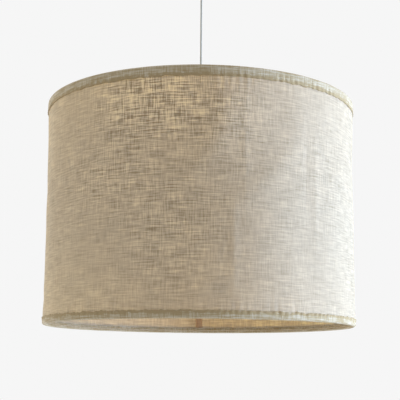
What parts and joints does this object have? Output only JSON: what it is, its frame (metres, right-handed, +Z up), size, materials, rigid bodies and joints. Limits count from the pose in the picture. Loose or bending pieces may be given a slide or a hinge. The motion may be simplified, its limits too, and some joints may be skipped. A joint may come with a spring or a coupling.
{
  "type": "drum pendant lamp shade",
  "caption": "Linen drum shade on two wire rings with a spider fitting, clamped to a screw-socket lampholder that hangs on a thin cord from a ceiling rose.",
  "frame": {"origin": "centre of the ceiling bracket's upper face, midway between its two screw holes, on the ceiling plane", "axes": "+Z up into the ceiling, the lamp hangs along -Z; X through the two ceiling screws; -Y is the front, the cover's side seam is at +Y"},
  "size_m": [0.5016, 0.5016, 0.635],
  "materials": {
    "linen": "plain slubbed weave, matt, lets light through",
    "linen_hem": "plain slubbed weave, doubled, matt",
    "white_wire": "semi-gloss powder coat",
    "white_plastic": "satin moulded",
    "ivory_plastic": "moulded",
    "cord_grey": "satin extruded sheath",
    "wire_insulation": "extruded",
    "zinc_steel": "zinc-plated sheet",
    "nickel_screws": "nickel-plated",
    "nickel_plate": "nickel-plated, rolled",
    "brass": "stamped",
    "porcelain": "steatite ceramic, unglazed",
    "black_glass": "pressed black glass",
    "opal_globe": "satin opal",
    "circuit_board": "white solder mask",
    "led_phosphor": "phosphor-filled silicone"
  },
  "bodies": {
    "rose": {"ceiling_bracket": "zinc_steel", "rose_cup": "white_plastic", "rose_cup_screws": "nickel_screws", "rose_cord_grip": "white_plastic", "rose_grip_nut": "white_plastic", "rose_grip_screw": "nickel_screws", "terminal_block": "ivory_plastic", "block_screw": "nickel_screws", "terminal_barrels": "brass", "terminal_screws": "nickel_screws", "rose_cord_tail": "cord_grey", "rose_wires": "wire_insulation"},
    "cord": {"pendant_cord": "cord_grey"},
    "holder": {"holder_cord_grip": "white_plastic", "holder_grip_screw": "nickel_screws", "holder_cap": "white_plastic", "holder_skirt": "white_plastic", "contact_block": "porcelain", "screw_shell": "brass", "centre_contact": "brass", "side_contact": "brass", "holder_terminals": "brass", "holder_terminal_screws": "nickel_screws", "holder_cord_tail": "cord_grey", "holder_wires": "wire_insulation"},
    "clamp_ring": {"shade_ring": "white_plastic"},
    "bulb": {"bulb_tip": "nickel_plate", "bulb_insulator": "black_glass", "bulb_screw_cap": "nickel_plate", "bulb_housing": "white_plastic", "bulb_globe": "opal_globe", "led_board": "circuit_board", "led_chips": "led_phosphor", "led_driver": "circuit_board"},
    "shade": {"fitter_ring": "white_wire", "spider_arm_1": "white_wire", "spider_arm_2": "white_wire", "spider_arm_3": "white_wire", "top_ring": "white_wire", "bottom_ring": "white_wire", "linen_cover": "linen", "side_seam": "linen", "top_hem": "linen_hem", "bottom_hem": "linen_hem"}
  },
  "joints": [
    {"name": "cord_swing", "type": "hinge", "parent": "rose", "child": "cord", "pos_m": [0, 0, -0.0735], "axis": [0, 1, 0], "range_deg": [-25, 25]},
    {"name": "holder_tilt", "type": "hinge", "parent": "cord", "child": "holder", "pos_m": [0, 0, -0.2595], "axis": [1, 0, 0], "range_deg": [-20, 20]},
    {"name": "shade_turn", "type": "hinge", "parent": "holder", "child": "shade", "pos_m": [0, 0, -0.30625], "axis": [0, 0, 1], "continuous": true},
    {"name": "clamp_ring_turn", "type": "hinge", "parent": "holder", "child": "clamp_ring", "pos_m": [0, 0, -0.314], "axis": [0, 0, 1], "continuous": true},
    {"name": "bulb_turn", "type": "hinge", "parent": "holder", "child": "bulb", "pos_m": [0, 0, -0.32], "axis": [0, 0, 1], "continuous": true}
  ]
}
